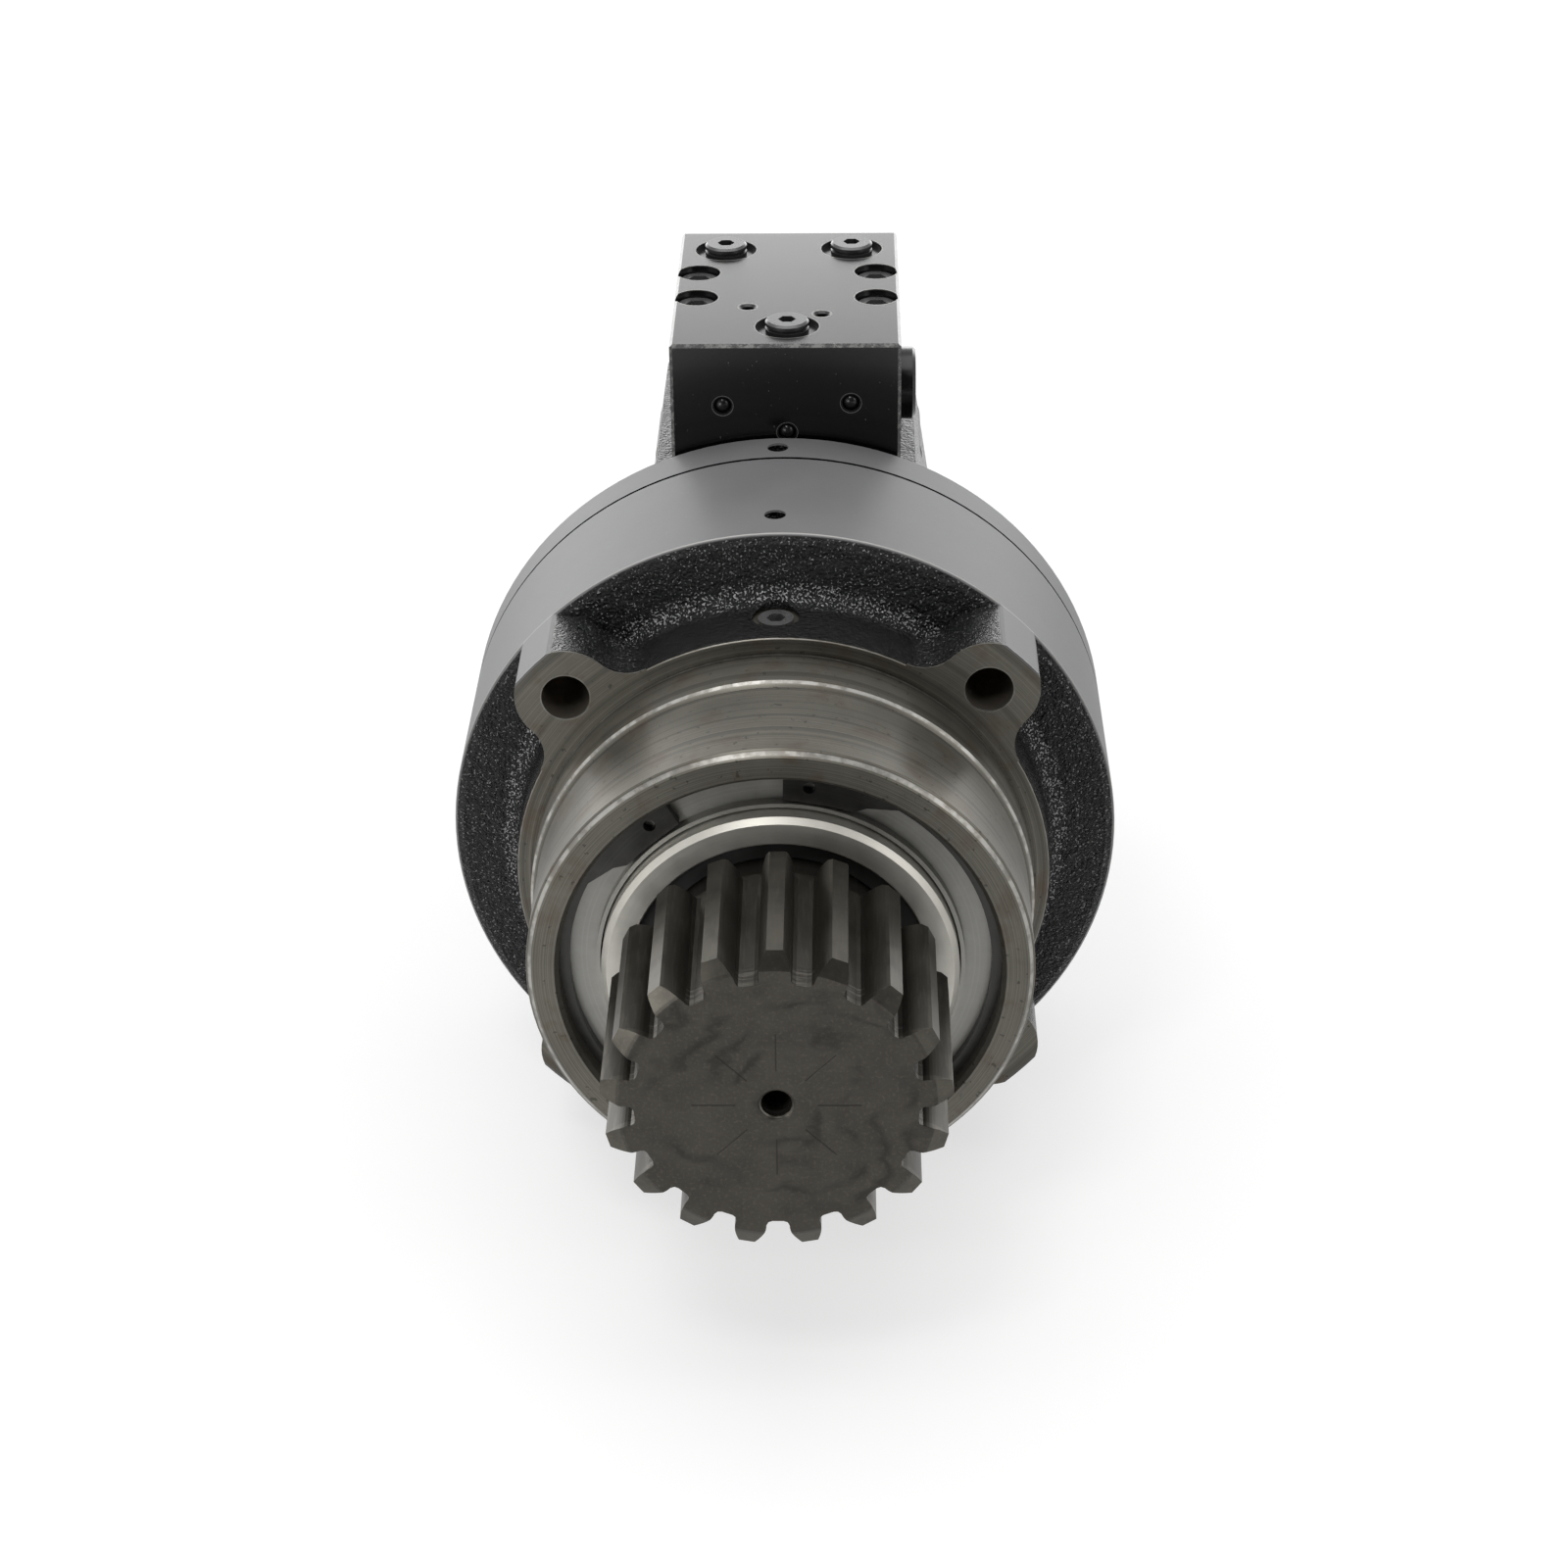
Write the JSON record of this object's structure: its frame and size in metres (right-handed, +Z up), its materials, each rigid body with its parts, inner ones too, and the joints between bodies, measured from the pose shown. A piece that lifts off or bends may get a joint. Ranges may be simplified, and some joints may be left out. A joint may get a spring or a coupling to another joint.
{
  "type": "swing drive",
  "caption": "Hydraulic swing drive with an axial piston motor, two planetary stages, a toothed output pinion, a round case with mounting ears and a valve block.",
  "frame": {"origin": "centre of the machined mounting face, on the drive axis", "axes": "-Y along the drive axis towards the pinion, +Z up towards the valve block, the drive lying on its round case"},
  "size_m": [0.25, 0.4108, 0.2899],
  "materials": {
    "cast_iron_painted": "gloss",
    "cast_iron_machined": "machined",
    "painted_steel": "satin",
    "gear_steel": "phosphated",
    "bright_steel": "ground",
    "grey_steel": "turned",
    "dark_steel": "blackened",
    "seal_rubber": "matte",
    "bronze": "turned"
  },
  "bodies": {
    "housing": {"gear_case": "cast_iron_machined", "ring_gear": "gear_steel", "front_bearing_cup": "bright_steel", "rear_bearing_cup": "bright_steel", "bearing_circlip": "dark_steel", "seal_plate": "bright_steel", "shaft_seal": "seal_rubber", "case_plug": "painted_steel", "motor_casing": "cast_iron_painted", "housing_o_rings": "seal_rubber", "flange_bolts": "dark_steel", "motor_shaft_seal": "seal_rubber", "motor_bearing_outer_races": "bright_steel", "swash_plate": "gear_steel", "brake_steel_discs": "grey_steel", "valve_plate": "bronze", "rear_cover": "cast_iron_painted", "cover_bolts": "dark_steel", "valve_block": "painted_steel", "block_bolts": "painted_steel", "port_plugs": "painted_steel", "ball_plugs": "painted_steel", "side_cap": "painted_steel", "brake_springs": "grey_steel"},
    "output_shaft": {"pinion_shaft": "gear_steel", "seal_collar": "bright_steel", "collar_o_ring": "seal_rubber", "front_bearing_cone": "bright_steel", "front_bearing_rollers": "bright_steel", "rear_bearing_cone": "bright_steel", "rear_bearing_rollers": "bright_steel", "bearing_nut": "grey_steel", "output_carrier": "grey_steel", "output_planet_pins": "bright_steel"},
    "output_planet_1": {"output_planet_1": "gear_steel"},
    "output_planet_2": {"output_planet_2": "gear_steel"},
    "output_planet_3": {"output_planet_3": "gear_steel"},
    "first_carrier": {"first_carrier": "grey_steel", "output_sun": "gear_steel", "first_planet_pins": "bright_steel"},
    "first_planet_1": {"first_planet_1": "gear_steel"},
    "first_planet_2": {"first_planet_2": "gear_steel"},
    "first_planet_3": {"first_planet_3": "gear_steel"},
    "motor_rotor": {"motor_shaft": "bright_steel", "first_sun": "gear_steel", "cylinder_block": "grey_steel", "brake_linings": "bronze", "motor_bearing_inner_races": "bright_steel", "motor_bearing_balls": "bright_steel", "retainer_guide": "bronze"},
    "shoe_ring": {"piston_shoes": "bronze", "shoe_retainer": "gear_steel"},
    "piston_1": {"piston_1": "bright_steel"},
    "piston_2": {"piston_2": "bright_steel"},
    "piston_3": {"piston_3": "bright_steel"},
    "piston_4": {"piston_4": "bright_steel"},
    "piston_5": {"piston_5": "bright_steel"},
    "piston_6": {"piston_6": "bright_steel"},
    "piston_7": {"piston_7": "bright_steel"},
    "brake_piston": {"brake_piston": "grey_steel"}
  },
  "joints": [
    {"name": "pinion_spin", "type": "hinge", "parent": "housing", "child": "output_shaft", "pos_m": [0, 0, 0], "axis": [0, 1, 0], "continuous": true},
    {"name": "output_planet_1_spin", "type": "hinge", "parent": "output_shaft", "child": "output_planet_1", "pos_m": [0, 0.066, 0.0585], "axis": [0, 1, 0], "continuous": true},
    {"name": "output_planet_2_spin", "type": "hinge", "parent": "output_shaft", "child": "output_planet_2", "pos_m": [-0.05066, 0.066, -0.02925], "axis": [0, 1, 0], "continuous": true},
    {"name": "output_planet_3_spin", "type": "hinge", "parent": "output_shaft", "child": "output_planet_3", "pos_m": [0.05066, 0.066, -0.02925], "axis": [0, 1, 0], "continuous": true},
    {"name": "first_carrier_spin", "type": "hinge", "parent": "housing", "child": "first_carrier", "pos_m": [0, 0.084, 0], "axis": [0, 1, 0], "continuous": true},
    {"name": "first_planet_1_spin", "type": "hinge", "parent": "first_carrier", "child": "first_planet_1", "pos_m": [0, 0.0963, 0.0585], "axis": [0, 1, 0], "continuous": true},
    {"name": "first_planet_2_spin", "type": "hinge", "parent": "first_carrier", "child": "first_planet_2", "pos_m": [-0.05066, 0.0963, -0.02925], "axis": [0, 1, 0], "continuous": true},
    {"name": "first_planet_3_spin", "type": "hinge", "parent": "first_carrier", "child": "first_planet_3", "pos_m": [0.05066, 0.0963, -0.02925], "axis": [0, 1, 0], "continuous": true},
    {"name": "motor_spin", "type": "hinge", "parent": "housing", "child": "motor_rotor", "pos_m": [0, 0.2, 0], "axis": [0, 1, 0], "continuous": true},
    {"name": "shoe_ring_spin", "type": "hinge", "parent": "housing", "child": "shoe_ring", "pos_m": [0, 0.156, 0], "axis": [0, 0.9781, 0.2079], "continuous": true},
    {"name": "piston_1_ball", "type": "hinge", "parent": "shoe_ring", "child": "piston_1", "pos_m": [0, 0.14885, 0.03362], "axis": [0, 0.9781, 0.2079], "continuous": true},
    {"name": "piston_2_ball", "type": "hinge", "parent": "shoe_ring", "child": "piston_2", "pos_m": [-0.02688, 0.15154, 0.02096], "axis": [0, 0.9781, 0.2079], "continuous": true},
    {"name": "piston_3_ball", "type": "hinge", "parent": "shoe_ring", "child": "piston_3", "pos_m": [-0.03351, 0.15759, -0.00748], "axis": [0, 0.9781, 0.2079], "continuous": true},
    {"name": "piston_4_ball", "type": "hinge", "parent": "shoe_ring", "child": "piston_4", "pos_m": [-0.01492, 0.16244, -0.03029], "axis": [0, 0.9781, 0.2079], "continuous": true},
    {"name": "piston_5_ball", "type": "hinge", "parent": "shoe_ring", "child": "piston_5", "pos_m": [0.01492, 0.16244, -0.03029], "axis": [0, 0.9781, 0.2079], "continuous": true},
    {"name": "piston_6_ball", "type": "hinge", "parent": "shoe_ring", "child": "piston_6", "pos_m": [0.03351, 0.15759, -0.00748], "axis": [0, 0.9781, 0.2079], "continuous": true},
    {"name": "piston_7_ball", "type": "hinge", "parent": "shoe_ring", "child": "piston_7", "pos_m": [0.02688, 0.15154, 0.02096], "axis": [0, 0.9781, 0.2079], "continuous": true},
    {"name": "brake_release", "type": "slide", "parent": "housing", "child": "brake_piston", "axis": [0, 1, 0], "range_m": [0, 0.0015], "stiffness_N_per_m": 40000, "deforming": ["brake_springs"]}
  ],
  "couplings": [
    {"joint": "output_planet_1_spin", "follows": "pinion_spin", "ratio": -2.625},
    {"joint": "output_planet_2_spin", "follows": "pinion_spin", "ratio": -2.625},
    {"joint": "output_planet_3_spin", "follows": "pinion_spin", "ratio": -2.625},
    {"joint": "first_carrier_spin", "follows": "pinion_spin", "ratio": 5.2},
    {"joint": "first_planet_1_spin", "follows": "pinion_spin", "ratio": -13.65},
    {"joint": "first_planet_2_spin", "follows": "pinion_spin", "ratio": -13.65},
    {"joint": "first_planet_3_spin", "follows": "pinion_spin", "ratio": -13.65},
    {"joint": "motor_spin", "follows": "pinion_spin", "ratio": 27.04},
    {"joint": "shoe_ring_spin", "follows": "pinion_spin", "ratio": 27.04},
    {"joint": "piston_1_ball", "follows": "pinion_spin", "ratio": -27.04},
    {"joint": "piston_2_ball", "follows": "pinion_spin", "ratio": -27.04},
    {"joint": "piston_3_ball", "follows": "pinion_spin", "ratio": -27.04},
    {"joint": "piston_4_ball", "follows": "pinion_spin", "ratio": -27.04},
    {"joint": "piston_5_ball", "follows": "pinion_spin", "ratio": -27.04},
    {"joint": "piston_6_ball", "follows": "pinion_spin", "ratio": -27.04},
    {"joint": "piston_7_ball", "follows": "pinion_spin", "ratio": -27.04}
  ]
}
